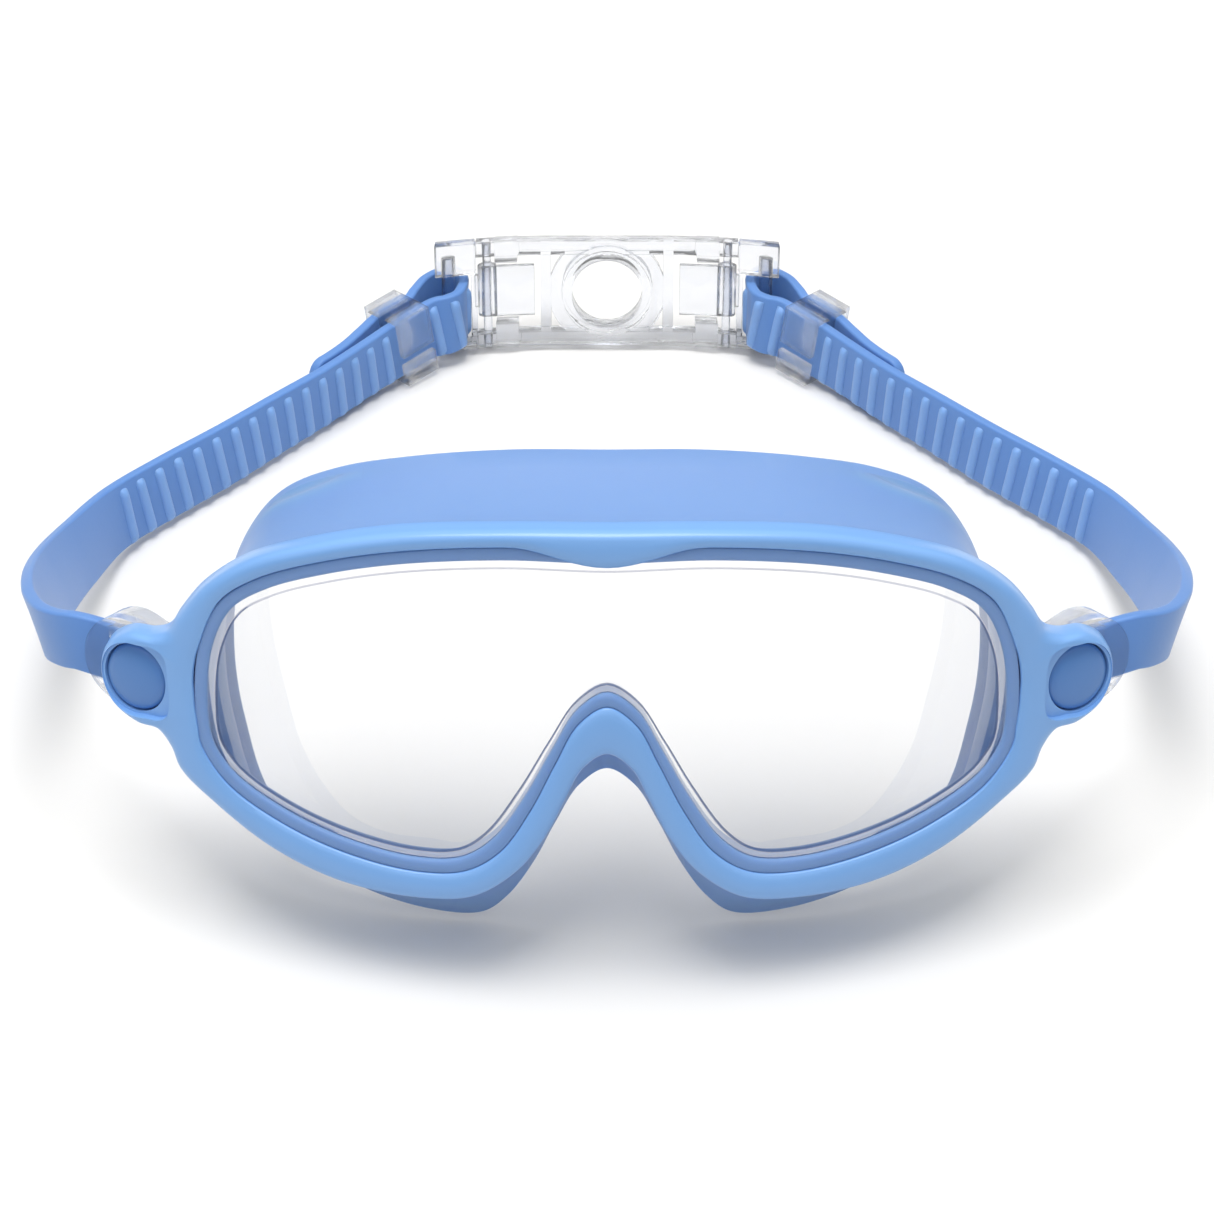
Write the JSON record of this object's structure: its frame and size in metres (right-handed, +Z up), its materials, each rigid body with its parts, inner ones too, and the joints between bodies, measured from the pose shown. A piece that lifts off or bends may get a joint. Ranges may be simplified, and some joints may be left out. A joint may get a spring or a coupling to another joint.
{
  "type": "swim goggles",
  "caption": "Wide swim mask with a one-piece curved lens, a soft face skirt and a ribbed silicone strap with a clear quick-adjust rear buckle.",
  "frame": {"origin": "middle of the footprint, on the surface that the goggles stand on", "axes": "+X to the wearer's left ear as seen from the lens side (right in front view), +Y from the lens back to the buckle, +Z up"},
  "size_m": [0.2022, 0.1856, 0.0734],
  "materials": {
    "frame": "satin moulded thermoplastic",
    "skirt": "soft matt silicone",
    "strap": "soft silicone with moulded ribs",
    "button": "satin domed button",
    "clear_parts": "clear polycarbonate",
    "lens": "clear polished polycarbonate"
  },
  "bodies": {
    "mask": {"lens": "lens", "frame": "frame", "face_skirt": "skirt", "left_side_clip": "clear_parts", "right_side_clip": "clear_parts", "left_strap_end": "strap", "right_strap_end": "strap"},
    "harness": {"left_strap": "strap", "right_strap": "strap", "buckle_frame": "clear_parts", "left_bail": "clear_parts", "right_bail": "clear_parts", "left_strap_bar": "clear_parts", "right_strap_bar": "clear_parts", "left_lever_pin": "clear_parts", "right_lever_pin": "clear_parts"},
    "left_button": {"left_button": "button"},
    "left_lever": {"left_lever": "clear_parts"},
    "left_keeper": {"left_keeper": "clear_parts"},
    "right_button": {"right_button": "button"},
    "right_lever": {"right_lever": "clear_parts"},
    "right_keeper": {"right_keeper": "clear_parts"}
  },
  "joints": [
    {"name": "harness_swing", "type": "hinge", "parent": "mask", "child": "harness", "pos_m": [0, -0.05732, 0.03793], "axis": [1, 0, 0], "range_deg": [-10, 50]},
    {"name": "left_button_press", "type": "slide", "parent": "mask", "child": "left_button", "axis": [0.4212, 0.8576, -0.2953], "range_m": [0, 0.0012], "stiffness_N_per_m": 900, "springref_m": -0.0004},
    {"name": "left_lever_pinch", "type": "hinge", "parent": "harness", "child": "left_lever", "pos_m": [-0.0258, 0.08667, 0.01254], "axis": [0, 0.2079, 0.9781], "range_deg": [0, 14], "stiffness_Nm_per_rad": 0.03, "springref_deg": -2.86},
    {"name": "left_keeper_slide", "type": "slide", "parent": "harness", "child": "left_keeper", "axis": [0.7069, 0.7039, 0.07], "range_m": [-0.0015, 0.0015]},
    {"name": "right_button_press", "type": "slide", "parent": "mask", "child": "right_button", "axis": [-0.4212, 0.8576, -0.2953], "range_m": [0, 0.0012], "stiffness_N_per_m": 900, "springref_m": -0.0004},
    {"name": "right_lever_pinch", "type": "hinge", "parent": "harness", "child": "right_lever", "pos_m": [0.0258, 0.08667, 0.01254], "axis": [0, -0.2079, -0.9781], "range_deg": [0, 14], "stiffness_Nm_per_rad": 0.03, "springref_deg": -2.86},
    {"name": "right_keeper_slide", "type": "slide", "parent": "harness", "child": "right_keeper", "axis": [-0.7069, 0.7039, 0.07], "range_m": [-0.0015, 0.0015]}
  ]
}
